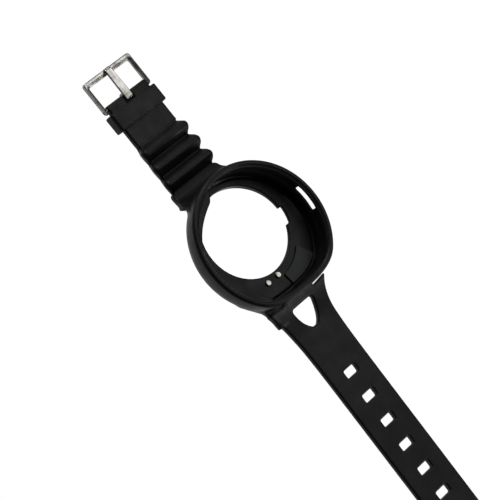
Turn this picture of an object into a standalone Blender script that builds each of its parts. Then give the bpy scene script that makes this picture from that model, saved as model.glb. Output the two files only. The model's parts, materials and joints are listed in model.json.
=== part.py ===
"""Wrist boot for a round dive computer: a rubber ring with two straps, a keeper and a pin buckle.

Every length below is in millimetres and every position along X is counted from the ring's
axis. One empty at the end moves the whole part so that it is centred on X = 0. X runs along
the strap with the buckle at -X, Z is up, and the part lies on Z = 0.
"""

import math

import bmesh
import bpy
from mathutils import Matrix, Vector

MM = 0.001
GAP = 0.3  # between pieces that touch

# Strap
STRAP_WIDTH = 24.0
STRAP_EDGE_ROUND = 0.7
BUCKLE_STRAP_THICK = 3.2
BUCKLE_STRAP_MID_Z = 3.9
TAIL_THICK = 3.0

# Ring
RIM_OUTER_R = 33.0
LIP_INNER_R = 30.4
RIM_TOP_Z = 22.5
WALL_INNER_R = 31.0
WALL_FOOT_R = 30.0
WALL_FOOT = 0.6  # height of the chamfer between the wall and the floor
WALL_TAPER_Z = 15.0  # below it, the wall leans in to its foot
FLOOR_OUTER_R = 29.2
LIP_UNDERSIDE_Z = 19.6
LIP_UNDERCUT = 0.7
FLOOR_Z = 10.4
FLOOR_INNER_R = 12.0  # before the opening is cut
OUTER_WALL = ((RIM_OUTER_R, 16.0), (32.5, 12.6), (31.8, 10.0), (30.6, 7.0), (29.6, 3.0))  # radius and height
RING_STEPS = 72
FLAT_X = 30.1  # of the rim's outer face, where the ring is flattened on the tail side
FLAT_BLEND = 6.5
SADDLE_R = 145.0
SADDLE_TOP_Z = 8.4
SADDLE_X = 3.0

# Opening in the ring's floor, with its notch
OPENING_R = 20.9
OPENING_X = -5.2
NOTCH_WIDTH = 7.6
NOTCH_Y = 22.2

# Button slot in the ring's +Y side
SLOT_LENGTH = 11.9
SLOT_TOP_Z = 18.35
SLOT_SILL_Z = 13.95
SLOT_OUTER_SILL_Z = 12.6
SLOT_REACH = (28.0, 35.0)  # of the cut along Y, past both faces of the wall

# Bellows
RIB_PITCH = 8.15
RIB_COUNT = 3
FIRST_VALLEY_X = -37.1
RIB_TOP_Z = 8.4
VALLEY_Z = 5.4
RIB_WIDTH = 27.0
RIB_POWER = 1.2  # above 1, the crest is narrower than a half sine
RIB_STEPS = 10
RIB_EDGE_ROUND = 0.5

# Buckle end
BAR_X = -82.1
KNUCKLE_WIDTH = 23.6
KNUCKLE_BACK_X = -79.0
KNUCKLE_RISE = 0.2  # above the strap's own faces
FRAME_WIDTH = 28.1
FRAME_LEG = 1.75
FRAME_LEG_PAST_BAR = 1.5
FRAME_THICK = 2.4
FRAME_END_X = -97.2
FRAME_BAR = 2.8
FRAME_CORNER_R = 1.2
FRAME_INNER_R = 0.8
FRAME_EDGE_ROUND = 0.35
PRONG_WIDTH = 4.0
PRONG_THICK = 1.2
PRONG_ABOVE_FRAME = 0.15
PRONG_TIP_X = FRAME_END_X - 0.4
PRONG_SLOT = 5.0
PRONG_SLOT_BACK_X = BAR_X + 2.9
EYE_CLEARANCE = 0.15
TUBE_R = 1.1
TUBE_BORE_R = 0.75
TUBE_HALF = 11.9
PIN_R = 0.5
PIN_HEAD_R = 0.65
PIN_HEAD_LENGTH = 1.2
PIN_TIP_Y = 13.9
PIN_HEAD_Y = 8.6
PIN_CLEARANCE = 0.1
SPRING_TURNS = 11
SPRING_R = 0.46
SPRING_WIRE_R = 0.11
SPRING_POINTS = 9  # in each turn

# Keeper
KEEPER_X = -75.4
KEEPER_LENGTH = 8.7
KEEPER_WIDTH = 27.0
KEEPER_HEIGHT = 7.2
KEEPER_WALL = 1.3
KEEPER_OUTER_ROUND = 1.8
KEEPER_INNER_ROUND = 0.8

# Tail
TAIL_START_X = 50.2
TAIL_START_MID_Z = 6.7
HOLE_PITCH = 13.2
FIRST_HOLE_X = 70.0
HOLE_COUNT = 9
HOLE_LENGTH = 3.9
HOLE_WIDTH = 7.0
HOLE_ROUND = 0.5
TAIL_JOINT_STEP = 2 * HOLE_PITCH
TAIL_SEGMENTS = 5
TAIL_LEVEL_X = TAIL_START_X + 4 * TAIL_JOINT_STEP
TAIL_TIP_X = 192.0
TIP_ROUND = 10.0
TAIL_SLOPE = (TAIL_START_MID_Z - TAIL_THICK / 2) / (TAIL_LEVEL_X - TAIL_START_X)

# Tail root. It is sunk in the ring's flat side, and its +Y horn stands clear of the wall
ROOT_SUNK = (28.0, 8.8)
HORN_INNER = (29.7, 10.2)
ROOT_LEVEL_X = 47.0
ROOT_RISE = 0.0131  # how fast the root curves up to the ring, per millimetre
HORN_TIP = (29.3, 17.8)
HORN_SIDE = ((30.6, 17.3), (32.4, 16.1), (34.6, 15.1), (38.0, 14.0), (42.0, 13.2), (46.9, 12.5))
BUCKLE_ROOT_SIDE = ((-29.6, 17.0), (-31.6, 14.8), (-33.4, 13.0), (-35.4, 12.1))
BUCKLE_ROOT_SUNK_R = 31.8
BUCKLE_ROOT_RISE = 0.14
GUSSET = ((30.2, -9.2), (30.2, -17.2), (26.0, -19.8), (21.5, -23.6), (20.6, -23.8), (23.6, -20.4),
          (26.1, -15.5), (27.4, -9.2))
GUSSET_Z = (10.0, 12.3)
WINDOW_X = (33.6, 45.0)
WINDOW_HALF_WIDTHS = (6.3, 2.1)
WINDOW_ROUND = 1.3

# Small pieces on the floor
STUD_X = 18.0
STUD_YS = {"contact_stud_side": -7.1, "contact_stud_middle": -0.8}
STUD_HEAD_R = 1.35
STUD_HEAD_THICK = 0.6
STUD_SHANK_R = 0.8
STUD_CLEARANCE = 0.15
STUD_BOTTOM_Z = 7.6
PAD_THICK = 0.6
PAD_ANGLES = (5.0, 44.0)
PAD_INNER_R = 22.2
PAD_OUTER_R = 28.2
PAD_STEPS = 8

RING_OFFSET_X = -(TAIL_TIP_X + PRONG_TIP_X) / 2


def clear_scene():
    for obj in list(bpy.data.objects):
        bpy.data.objects.remove(obj)


def new_collection(name):
    collection = bpy.data.collections.new(name)
    bpy.context.scene.collection.children.link(collection)
    return collection


def material(name, colour, roughness, metallic=0.0):
    made = bpy.data.materials.new(name)
    made.use_nodes = True
    shader = made.node_tree.nodes["Principled BSDF"]
    shader.inputs["Base Color"].default_value = (*colour, 1.0)
    shader.inputs["Roughness"].default_value = roughness
    shader.inputs["Metallic"].default_value = metallic
    return made


def rubber(name):
    return material(name, (0.02, 0.02, 0.022), 0.55)


def steel(name):
    return material(name, (0.62, 0.61, 0.58), 0.3, 1.0)


def mesh_object(name, bm, collection):
    mesh = bpy.data.meshes.new(name)
    bmesh.ops.recalc_face_normals(bm, faces=bm.faces)
    bm.to_mesh(mesh)
    bm.free()
    obj = bpy.data.objects.new(name, mesh)
    collection.objects.link(obj)
    return obj


def as_cutter(obj):
    obj.hide_render = True
    obj.display_type = "WIRE"
    return obj


def finish(obj, made_of, smooth_angle=35.0):
    obj.data.materials.clear()
    obj.data.materials.append(made_of)
    obj.data.shade_smooth()
    obj.data.set_sharp_from_angle(angle=math.radians(smooth_angle))
    return obj


def move_origin(obj, point):
    """Puts the object's origin at a point in millimetres and leaves its shape in place."""
    shift = Vector(point) * MM
    obj.data.transform(Matrix.Translation(-shift))
    obj.location = shift
    return obj


def boolean(target, other, operation="DIFFERENCE"):
    modifier = target.modifiers.new(other.name, "BOOLEAN")
    modifier.operation = operation
    modifier.object = other
    return target


def bevel(obj, width, segments=2, angle=40.0):
    modifier = obj.modifiers.new("rounded_edges", "BEVEL")
    modifier.width = width * MM
    modifier.segments = segments
    modifier.limit_method = "ANGLE"
    modifier.angle_limit = math.radians(angle)
    return obj


def box(name, low, high, collection):
    bm = bmesh.new()
    size = [b - a for a, b in zip(low, high)]
    middle = [(a + b) / 2 for a, b in zip(low, high)]
    bmesh.ops.create_cube(bm, size=1.0)
    bmesh.ops.scale(bm, vec=Vector(size) * MM, verts=bm.verts)
    bmesh.ops.translate(bm, vec=Vector(middle) * MM, verts=bm.verts)
    return mesh_object(name, bm, collection)


def cylinder_y(name, radius, y_range, x, z, segments, collection):
    """A cylinder along Y."""
    bm = bmesh.new()
    bmesh.ops.create_cone(
        bm, cap_ends=True, segments=segments, radius1=radius * MM, radius2=radius * MM,
        depth=(y_range[1] - y_range[0]) * MM,
    )
    bmesh.ops.rotate(bm, matrix=Matrix.Rotation(math.pi / 2, 3, "X"), verts=bm.verts)
    middle = (x, (y_range[0] + y_range[1]) / 2, z)
    bmesh.ops.translate(bm, vec=Vector(middle) * MM, verts=bm.verts)
    return mesh_object(name, bm, collection)


def cylinder_z(name, radius, z_range, x, y, segments, collection):
    bm = bmesh.new()
    bmesh.ops.create_cone(
        bm, cap_ends=True, segments=segments, radius1=radius * MM, radius2=radius * MM,
        depth=(z_range[1] - z_range[0]) * MM,
    )
    middle = (x, y, (z_range[0] + z_range[1]) / 2)
    bmesh.ops.translate(bm, vec=Vector(middle) * MM, verts=bm.verts)
    return mesh_object(name, bm, collection)


def arc(centre, radius, start_deg, end_deg, steps):
    angles = [math.radians(start_deg + (end_deg - start_deg) * i / steps) for i in range(steps + 1)]
    return [(centre[0] + radius * math.cos(a), centre[1] + radius * math.sin(a)) for a in angles]


def rounded(corners, radius, steps=4):
    """The closed outline with each corner replaced by an arc."""
    points = []
    for index, corner in enumerate(corners):
        here = Vector(corner)
        before = (Vector(corners[index - 1]) - here).normalized()
        after = (Vector(corners[(index + 1) % len(corners)]) - here).normalized()
        half = before.angle(after) / 2
        centre = here + (before + after).normalized() * radius / math.sin(half)
        first = here + before * radius / math.tan(half) - centre
        last = here + after * radius / math.tan(half) - centre
        for step in range(steps + 1):
            spoke = first.lerp(last, step / steps).normalized() * radius
            points.append(tuple(centre + spoke))
    return points


def plate(name, outlines, thickness, collection, turn=None, middle=(0.0, 0.0, 0.0)):
    """A flat outline, with any holes, as thick as said. It lies in XY, or as turn puts it."""
    curve = bpy.data.curves.new(name, "CURVE")
    curve.dimensions = "2D"
    curve.fill_mode = "BOTH"
    curve.extrude = thickness * MM / 2
    for outline in outlines:
        spline = curve.splines.new("POLY")
        spline.points.add(len(outline) - 1)
        for point, (u, v) in zip(spline.points, outline):
            point.co = (u * MM, v * MM, 0.0, 1.0)
        spline.use_cyclic_u = True
    flat = bpy.data.objects.new(name + "_outline", curve)
    collection.objects.link(flat)
    bpy.context.view_layer.update()
    made = bpy.data.meshes.new_from_object(flat.evaluated_get(bpy.context.evaluated_depsgraph_get()))
    bpy.data.objects.remove(flat)
    bm = bmesh.new()
    bm.from_mesh(made)
    bmesh.ops.remove_doubles(bm, verts=bm.verts, dist=1e-6)
    if turn:
        bmesh.ops.transform(bm, matrix=turn, verts=bm.verts)
    bmesh.ops.translate(bm, vec=Vector(middle) * MM, verts=bm.verts)
    return mesh_object(name, bm, collection)


# Turns an outline drawn in (X, Z) upright, so that its thickness runs along Y.
UPRIGHT = Matrix.Rotation(math.pi / 2, 4, "X")
# Turns an outline drawn in (Y, Z) upright, so that its thickness runs along X.
ACROSS = Matrix.Rotation(math.pi / 2, 4, "Z") @ UPRIGHT


def turned(name, profile, steps, collection):
    """A closed profile of (radius, z), turned about Z."""
    bm = bmesh.new()
    verts = [bm.verts.new((r * MM, 0.0, z * MM)) for r, z in profile]
    for index, vert in enumerate(verts):
        bm.edges.new((vert, verts[(index + 1) % len(verts)]))
    mesh = bpy.data.meshes.new(name)
    bm.to_mesh(mesh)
    bm.free()
    obj = bpy.data.objects.new(name, mesh)
    collection.objects.link(obj)
    screw = obj.modifiers.new("turn", "SCREW")
    screw.steps = steps
    screw.render_steps = steps
    screw.use_merge_vertices = True
    screw.merge_threshold = 0.00001
    return obj


def bend_up(obj, cuts, height_at):
    """Cuts the plate across X at each place, then lifts it along the curve height_at(x)."""
    bm = bmesh.new()
    bm.from_mesh(obj.data)
    for x in cuts:
        bmesh.ops.bisect_plane(
            bm, geom=bm.verts[:] + bm.edges[:] + bm.faces[:],
            plane_co=(x * MM, 0.0, 0.0), plane_no=(1.0, 0.0, 0.0), dist=1e-7,
        )
    for vert in bm.verts:
        vert.co.z += height_at(vert.co.x / MM) * MM
    bmesh.ops.triangulate(bm, faces=bm.faces)
    bm.to_mesh(obj.data)
    bm.free()
    return obj


def tail_mid_z(x):
    """Height of the middle of the tail: a straight fall to the table, then level."""
    return max(TAIL_START_MID_Z - TAIL_SLOPE * (x - TAIL_START_X), TAIL_THICK / 2)


def tail_root_z(x):
    return tail_mid_z(max(x, ROOT_LEVEL_X)) + ROOT_RISE * max(ROOT_LEVEL_X - x, 0.0) ** 2


def buckle_root_z(x):
    return BUCKLE_STRAP_MID_Z + BUCKLE_ROOT_RISE * max(x - FIRST_VALLEY_X, 0.0) ** 2


def ring_profile():
    rim_r = (RIM_OUTER_R - LIP_INNER_R) / 2
    rim_middle = (LIP_INNER_R + rim_r, RIM_TOP_Z - rim_r)
    floor = [(FLOOR_INNER_R, OUTER_WALL[-1][1]), (FLOOR_INNER_R, FLOOR_Z), (FLOOR_OUTER_R, FLOOR_Z)]
    foot = [(WALL_FOOT_R, FLOOR_Z + WALL_FOOT)]
    wall = foot + [(WALL_INNER_R, WALL_TAPER_Z), (WALL_INNER_R, LIP_UNDERSIDE_Z)]
    lip = [(LIP_INNER_R, LIP_UNDERSIDE_Z + LIP_UNDERCUT)] + arc(rim_middle, rim_r, 180.0, 0.0, 8)
    return list(OUTER_WALL) + floor + wall + lip


def flat_side(x, radius):
    """X of a point of the ring after its tail side is flattened, the wall keeping its thickness."""
    most = FLAT_X - RIM_OUTER_R + radius
    share = min(max(0.5 + 0.5 * (most - x) / FLAT_BLEND, 0.0), 1.0)
    return most + (x - most) * share - FLAT_BLEND * share * (1.0 - share)


def flatten_tail_side(obj):
    bpy.context.view_layer.update()
    turned_mesh = bpy.data.meshes.new_from_object(obj.evaluated_get(bpy.context.evaluated_depsgraph_get()))
    obj.modifiers.clear()
    obj.data = turned_mesh
    for vert in turned_mesh.vertices:
        radius = math.hypot(vert.co.x, vert.co.y) / MM
        if radius > FLOOR_INNER_R + GAP:
            vert.co.x = flat_side(vert.co.x / MM, radius) * MM


def slot_cutter(cutters):
    """A cut whose sill falls outwards."""
    near, far = SLOT_REACH
    low = (-SLOT_LENGTH / 2, near, SLOT_SILL_Z)
    high = (SLOT_LENGTH / 2, far, SLOT_TOP_Z)
    cutter = box("slot_cutter", low, high, cutters)
    fall = (SLOT_SILL_Z - SLOT_OUTER_SILL_Z) / (RIM_OUTER_R - WALL_INNER_R)
    middle_z = (SLOT_SILL_Z + SLOT_TOP_Z) / 2
    for vert in cutter.data.vertices:
        if vert.co.z < middle_z * MM:
            vert.co.z -= fall * (vert.co.y - WALL_INNER_R * MM)
    return as_cutter(cutter)


def tail_root(cutters):
    outer_corner = (TAIL_START_X - GAP / 2, STRAP_WIDTH / 2)
    half = [ROOT_SUNK, HORN_INNER, HORN_TIP, *HORN_SIDE, outer_corner]
    outline = half + [(x, -y) for x, y in reversed(half)]
    root = plate("tail_root", [outline], TAIL_THICK, cutters)
    cuts = [HORN_TIP[0] + 0.7 + 1.6 * i for i in range(-1, 12)]
    return as_cutter(bend_up(root, cuts, tail_root_z))


def gusset(cutters):
    """Fills the corner between the ring's wall and the -Y horn."""
    low, high = GUSSET_Z
    middle = (0.0, 0.0, (low + high) / 2)
    return as_cutter(plate("gusset", [list(GUSSET)], high - low, cutters, middle=middle))


def buckle_root(cutters):
    sunk = arc((0.0, 0.0), BUCKLE_ROOT_SUNK_R, 177.0, 153.0, 6)
    half = [*sunk, *BUCKLE_ROOT_SIDE, (FIRST_VALLEY_X + GAP / 2, STRAP_WIDTH / 2)]
    outline = half + [(x, -y) for x, y in reversed(half)]
    root = plate("buckle_root", [outline], BUCKLE_STRAP_THICK, cutters)
    cuts = [FIRST_VALLEY_X + 1.2 * i for i in range(1, 7)]
    return as_cutter(bend_up(root, cuts, buckle_root_z))


def window_cutter(cutters):
    near, far = WINDOW_X
    wide, narrow = WINDOW_HALF_WIDTHS
    corners = [(near, -wide), (far, -narrow), (far, narrow), (near, wide)]
    outline = rounded(corners, WINDOW_ROUND)
    return as_cutter(plate("window_cutter", [outline], 20.0, cutters, middle=(0.0, 0.0, 10.0)))


def boot_body(parts, cutters):
    boot = turned("boot_body", ring_profile(), RING_STEPS, parts)
    flatten_tail_side(boot)
    saddle = cylinder_y("saddle_cutter", SADDLE_R, (-45.0, 45.0), SADDLE_X,
                        SADDLE_TOP_Z - SADDLE_R, 240, cutters)
    boolean(boot, as_cutter(saddle))
    boolean(boot, tail_root(cutters), "UNION")
    boolean(boot, gusset(cutters), "UNION")
    boolean(boot, buckle_root(cutters), "UNION")
    opening = cylinder_z("opening_cutter", OPENING_R, (-5.0, FLOOR_Z + 3.0), OPENING_X, 0.0, 72, cutters)
    boolean(boot, as_cutter(opening))
    notch = box("notch_cutter", (-NOTCH_WIDTH / 2, 10.0, 5.0), (NOTCH_WIDTH / 2, NOTCH_Y, 16.0), cutters)
    boolean(boot, as_cutter(notch))
    boolean(boot, slot_cutter(cutters))
    boolean(boot, window_cutter(cutters))
    for name, y in STUD_YS.items():
        hole_r = STUD_SHANK_R + STUD_CLEARANCE
        hole = cylinder_z(name + "_hole", hole_r, (0.0, 20.0), STUD_X, y, 16, cutters)
        boolean(boot, as_cutter(hole))
    return finish(boot, rubber("boot_rubber"))


def solid_of_revolution(name, profile, steps, collection):
    """An open profile of (radius, z), from the axis back to the axis, turned about Z."""
    bm = bmesh.new()
    verts = [bm.verts.new((r * MM, 0.0, z * MM)) for r, z in profile]
    for first, second in zip(verts, verts[1:]):
        bm.edges.new((first, second))
    bmesh.ops.spin(
        bm, geom=bm.verts[:] + bm.edges[:], axis=(0.0, 0.0, 1.0), cent=(0.0, 0.0, 0.0),
        steps=steps, angle=math.tau,
    )
    bmesh.ops.remove_doubles(bm, verts=bm.verts, dist=1e-6)
    return mesh_object(name, bm, collection)


def contact_stud(name, y, parts):
    low = FLOOR_Z + GAP
    top = low + STUD_HEAD_THICK
    chamfer = STUD_HEAD_THICK / 2
    head = [(0.0, top), (STUD_HEAD_R - chamfer, top), (STUD_HEAD_R, top - chamfer), (STUD_HEAD_R, low)]
    profile = head + [(STUD_SHANK_R, low), (STUD_SHANK_R, STUD_BOTTOM_Z), (0.0, STUD_BOTTOM_Z)]
    stud = solid_of_revolution(name, profile, 20, parts)
    stud.location = Vector((STUD_X, y, 0.0)) * MM
    return finish(stud, steel("stud_steel"))


def seat_pad(parts):
    start, end = (math.radians(angle) for angle in PAD_ANGLES)
    angles = [start + (end - start) * i / PAD_STEPS for i in range(PAD_STEPS + 1)]
    outer = [(PAD_OUTER_R * math.cos(a), PAD_OUTER_R * math.sin(a)) for a in angles]
    outer = [(flat_side(x, PAD_OUTER_R), y) for x, y in outer]
    inner = [(PAD_INNER_R * math.cos(a), PAD_INNER_R * math.sin(a)) for a in reversed(angles)]
    inner = [(x + OPENING_X / 2, y) for x, y in inner]
    middle = (0.0, 0.0, FLOOR_Z + GAP + PAD_THICK / 2)
    pad = plate("seat_pad", [outer + inner], PAD_THICK, parts, middle=middle)
    return finish(pad, material("pad_plastic", (0.13, 0.14, 0.14), 0.5))


def rib_segment(index, parts):
    """One fold of the bellows, from one valley to the next, hinged at its +X end."""
    hinge_x = FIRST_VALLEY_X - index * RIB_PITCH
    front = hinge_x - GAP / 2
    back = hinge_x - RIB_PITCH + GAP / 2
    bottom = BUCKLE_STRAP_MID_Z - BUCKLE_STRAP_THICK / 2
    top = []
    for i in range(RIB_STEPS + 1):
        share = i / RIB_STEPS
        height = VALLEY_Z + (RIB_TOP_Z - VALLEY_Z) * max(math.sin(math.pi * share), 0.0) ** RIB_POWER
        top.append((front + (back - front) * share, height))
    outline = [(back, bottom), (front, bottom)] + top
    rib = plate(f"bellows_rib_{index + 1}", [outline], RIB_WIDTH, parts, turn=UPRIGHT)
    bevel(rib, RIB_EDGE_ROUND)
    move_origin(rib, (hinge_x, 0.0, bottom))
    return finish(rib, rubber("rib_rubber"))


def knuckle(cutters):
    """The round end that holds the spring bar. Its back edge is sunk in the strap."""
    radius = BUCKLE_STRAP_THICK / 2 + KNUCKLE_RISE
    back_x = KNUCKLE_BACK_X + BUCKLE_STRAP_THICK / 2
    sunk = BUCKLE_STRAP_THICK / 2 - KNUCKLE_RISE / 2
    outline = arc((BAR_X, BUCKLE_STRAP_MID_Z), radius, 90.0, 270.0, 12)
    outline += [(back_x, BUCKLE_STRAP_MID_Z - sunk), (back_x, BUCKLE_STRAP_MID_Z + sunk)]
    return as_cutter(plate("knuckle", [outline], KNUCKLE_WIDTH, cutters, turn=UPRIGHT))


def buckle_strap(parts, cutters):
    front = FIRST_VALLEY_X - RIB_COUNT * RIB_PITCH
    bottom = BUCKLE_STRAP_MID_Z - BUCKLE_STRAP_THICK / 2
    top = BUCKLE_STRAP_MID_Z + BUCKLE_STRAP_THICK / 2
    strap = box("buckle_strap", (KNUCKLE_BACK_X, -STRAP_WIDTH / 2, bottom),
                (front - GAP / 2, STRAP_WIDTH / 2, top), parts)
    bevel(strap, STRAP_EDGE_ROUND)
    boolean(strap, knuckle(cutters), "UNION")
    bore_r = TUBE_R + PIN_CLEARANCE
    bore = cylinder_y("bar_bore", bore_r, (-20.0, 20.0), BAR_X, BUCKLE_STRAP_MID_Z, 24, cutters)
    boolean(strap, as_cutter(bore))
    slot_low = (FRAME_END_X, -PRONG_SLOT / 2, 0.0)
    slot = box("prong_slot", slot_low, (PRONG_SLOT_BACK_X, PRONG_SLOT / 2, 10.0), cutters)
    boolean(strap, as_cutter(slot))
    move_origin(strap, (front, 0.0, bottom))
    return finish(strap, rubber("strap_rubber"))


def rectangle(half_u, half_v):
    return [(-half_u, -half_v), (half_u, -half_v), (half_u, half_v), (-half_u, half_v)]


def keeper_loop(parts):
    half_u, half_v = KEEPER_WIDTH / 2, KEEPER_HEIGHT / 2
    outer = rounded(rectangle(half_u, half_v), KEEPER_OUTER_ROUND)
    inner = rounded(rectangle(half_u - KEEPER_WALL, half_v - KEEPER_WALL), KEEPER_INNER_ROUND)
    middle = (KEEPER_X, 0.0, KEEPER_HEIGHT / 2)
    keeper = plate("keeper_loop", [outer, inner], KEEPER_LENGTH, parts, turn=ACROSS, middle=middle)
    move_origin(keeper, middle)
    return finish(keeper, rubber("keeper_rubber"))


def spring_bar_tube(parts):
    outside = [(TUBE_R, TUBE_HALF), (TUBE_R, -TUBE_HALF)]
    profile = outside + [(TUBE_BORE_R, -TUBE_HALF), (TUBE_BORE_R, TUBE_HALF)]
    tube = turned("spring_bar_tube", profile, 20, parts)
    tube.rotation_euler.x = math.pi / 2
    tube.location = Vector((BAR_X, 0.0, BUCKLE_STRAP_MID_Z)) * MM
    return finish(tube, steel("tube_steel"))


def spring_bar_pin(name, side, parts):
    """A headed pin, made along Z and turned so that its tip points to +Y (side 1) or -Y (side -1)."""
    head_end = PIN_HEAD_Y + PIN_HEAD_LENGTH
    profile = [(0.0, PIN_TIP_Y), (PIN_R - 0.15, PIN_TIP_Y), (PIN_R, PIN_TIP_Y - 0.2), (PIN_R, head_end),
               (PIN_HEAD_R, head_end), (PIN_HEAD_R, PIN_HEAD_Y), (0.0, PIN_HEAD_Y)]
    pin = solid_of_revolution(name, profile, 16, parts)
    pin.rotation_euler.x = -math.pi / 2 * side
    pin.location = Vector((BAR_X, 0.0, BUCKLE_STRAP_MID_Z)) * MM
    return finish(pin, steel("pin_steel"))


def spring_bar_spring(parts):
    length = 2 * (PIN_HEAD_Y - GAP - SPRING_WIRE_R)
    count = SPRING_TURNS * SPRING_POINTS + 1
    curve = bpy.data.curves.new("spring_bar_spring", "CURVE")
    curve.dimensions = "3D"
    curve.bevel_depth = SPRING_WIRE_R * MM
    curve.bevel_resolution = 1
    curve.use_fill_caps = True
    spline = curve.splines.new("POLY")
    spline.points.add(count - 1)
    for index, point in enumerate(spline.points):
        angle = math.tau * index / SPRING_POINTS
        y = length * (index / (count - 1) - 0.5)
        point.co = (SPRING_R * MM * math.cos(angle), y * MM, SPRING_R * MM * math.sin(angle), 1.0)
    spring = bpy.data.objects.new("spring_bar_spring", curve)
    parts.objects.link(spring)
    spring.location = Vector((BAR_X, 0.0, BUCKLE_STRAP_MID_Z)) * MM
    curve.materials.append(steel("spring_steel"))
    return spring


def buckle_frame(parts, cutters):
    """A flat steel frame, open at the strap, with a hole near each leg's end for a spring bar pin."""
    half = FRAME_WIDTH / 2
    inner = half - FRAME_LEG
    leg_end = BAR_X + FRAME_LEG_PAST_BAR
    corners = [(FRAME_END_X, -half), (leg_end, -half), (leg_end, half), (FRAME_END_X, half)]
    outer = rounded(corners, FRAME_CORNER_R)
    frame = plate("buckle_frame", [outer], FRAME_THICK, parts, middle=(0.0, 0.0, BUCKLE_STRAP_MID_Z))
    bar_inside = FRAME_END_X + FRAME_BAR
    inside = [(bar_inside, -inner), (0.0, -inner), (0.0, inner), (bar_inside, inner)]
    hole = rounded(inside, FRAME_INNER_R)
    cutter = plate("frame_opening", [hole], 10.0, cutters, middle=(0.0, 0.0, BUCKLE_STRAP_MID_Z))
    boolean(frame, as_cutter(cutter))
    bevel(frame, FRAME_EDGE_ROUND)
    pin_hole_r = PIN_R + PIN_CLEARANCE
    pin_holes = cylinder_y("pin_holes", pin_hole_r, (-20.0, 20.0), BAR_X, BUCKLE_STRAP_MID_Z, 16, cutters)
    boolean(frame, as_cutter(pin_holes))
    move_origin(frame, (BAR_X, 0.0, BUCKLE_STRAP_MID_Z))
    return finish(frame, steel("frame_steel"))


def buckle_prong(parts):
    """A flat prong whose eye turns on the spring bar and whose tip rests on the frame's outer bar."""
    underside = BUCKLE_STRAP_MID_Z + FRAME_THICK / 2 + PRONG_ABOVE_FRAME
    top = underside + PRONG_THICK
    eye_r = top - BUCKLE_STRAP_MID_Z
    meet = 180.0 - math.degrees(math.asin((underside - BUCKLE_STRAP_MID_Z) / eye_r))
    nose = [(PRONG_TIP_X, underside), (PRONG_TIP_X + PRONG_THICK / 6, underside + PRONG_THICK * 0.6)]
    outline = nose + [(PRONG_TIP_X + PRONG_THICK, top)]
    outline += arc((BAR_X, BUCKLE_STRAP_MID_Z), eye_r, 90.0, meet - 360.0, 22)
    eye = arc((BAR_X, BUCKLE_STRAP_MID_Z), TUBE_R + EYE_CLEARANCE, 0.0, 345.0, 23)
    prong = plate("buckle_prong", [outline, eye], PRONG_WIDTH, parts, turn=UPRIGHT)
    move_origin(prong, (BAR_X, 0.0, BUCKLE_STRAP_MID_Z))
    return finish(prong, steel("prong_steel"))


def tail_outline(start, end, is_tip):
    half = STRAP_WIDTH / 2
    if not is_tip:
        return [(start, -half), (end, -half), (end, half), (start, half)]
    flat = half - TIP_ROUND
    lower = arc((end - TIP_ROUND, -flat), TIP_ROUND, -90.0, 0.0, 8)
    upper = arc((end - TIP_ROUND, flat), TIP_ROUND, 0.0, 90.0, 8)
    return [(start, -half)] + lower + upper + [(start, half)]


def tail_segment(index, parts, cutters):
    joint_x = TAIL_START_X + index * TAIL_JOINT_STEP
    is_tip = index == TAIL_SEGMENTS - 1
    end = TAIL_TIP_X if is_tip else joint_x + TAIL_JOINT_STEP - GAP / 2
    outline = tail_outline(joint_x + GAP / 2, end, is_tip)
    name = f"tail_{index + 1}"
    segment = bend_up(plate(name, [outline], TAIL_THICK, parts), [], tail_mid_z)
    bevel(segment, STRAP_EDGE_ROUND)
    for hole in range(HOLE_COUNT):
        x = FIRST_HOLE_X + hole * HOLE_PITCH
        if joint_x < x < end:
            outline = rounded(rectangle(HOLE_LENGTH / 2, HOLE_WIDTH / 2), HOLE_ROUND, 2)
            cutter = plate(f"prong_hole_{hole + 1}", [outline], 20.0, cutters, middle=(x, 0.0, 5.0))
            boolean(segment, as_cutter(cutter))
    move_origin(segment, (joint_x, 0.0, tail_mid_z(joint_x) - TAIL_THICK / 2))
    return finish(segment, rubber("tail_rubber"))


def main():
    clear_scene()
    parts = new_collection("wrist_boot")
    cutters = new_collection("cutters")
    boot_body(parts, cutters)
    seat_pad(parts)
    for name, y in STUD_YS.items():
        contact_stud(name, y, parts)
    for index in range(RIB_COUNT):
        rib_segment(index, parts)
    buckle_strap(parts, cutters)
    keeper_loop(parts)
    spring_bar_tube(parts)
    spring_bar_pin("spring_bar_pin_left", 1, parts)
    spring_bar_pin("spring_bar_pin_right", -1, parts)
    spring_bar_spring(parts)
    buckle_frame(parts, cutters)
    buckle_prong(parts)
    for index in range(TAIL_SEGMENTS):
        tail_segment(index, parts, cutters)
    middle = bpy.data.objects.new("middle_of_part", None)
    parts.objects.link(middle)
    middle.location.x = RING_OFFSET_X * MM
    for obj in list(parts.objects) + list(cutters.objects):
        if obj is not middle:
            obj.parent = middle


main()
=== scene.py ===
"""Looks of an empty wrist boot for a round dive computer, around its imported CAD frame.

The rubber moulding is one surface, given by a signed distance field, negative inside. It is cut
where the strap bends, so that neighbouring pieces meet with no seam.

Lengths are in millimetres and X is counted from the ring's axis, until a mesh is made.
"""

import json
import math

import bmesh
import bpy
import numpy as np
from mathutils import Matrix, Vector


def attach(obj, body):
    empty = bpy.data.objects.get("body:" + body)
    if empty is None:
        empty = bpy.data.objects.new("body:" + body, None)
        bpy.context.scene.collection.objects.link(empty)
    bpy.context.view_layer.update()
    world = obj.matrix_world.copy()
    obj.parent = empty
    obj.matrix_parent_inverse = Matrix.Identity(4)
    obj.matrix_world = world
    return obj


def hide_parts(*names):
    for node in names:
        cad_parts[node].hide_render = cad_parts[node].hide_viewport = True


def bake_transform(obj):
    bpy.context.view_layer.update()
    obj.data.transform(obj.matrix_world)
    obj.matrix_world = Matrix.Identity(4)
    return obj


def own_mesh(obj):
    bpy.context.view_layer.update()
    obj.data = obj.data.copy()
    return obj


MM = 0.001

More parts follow.
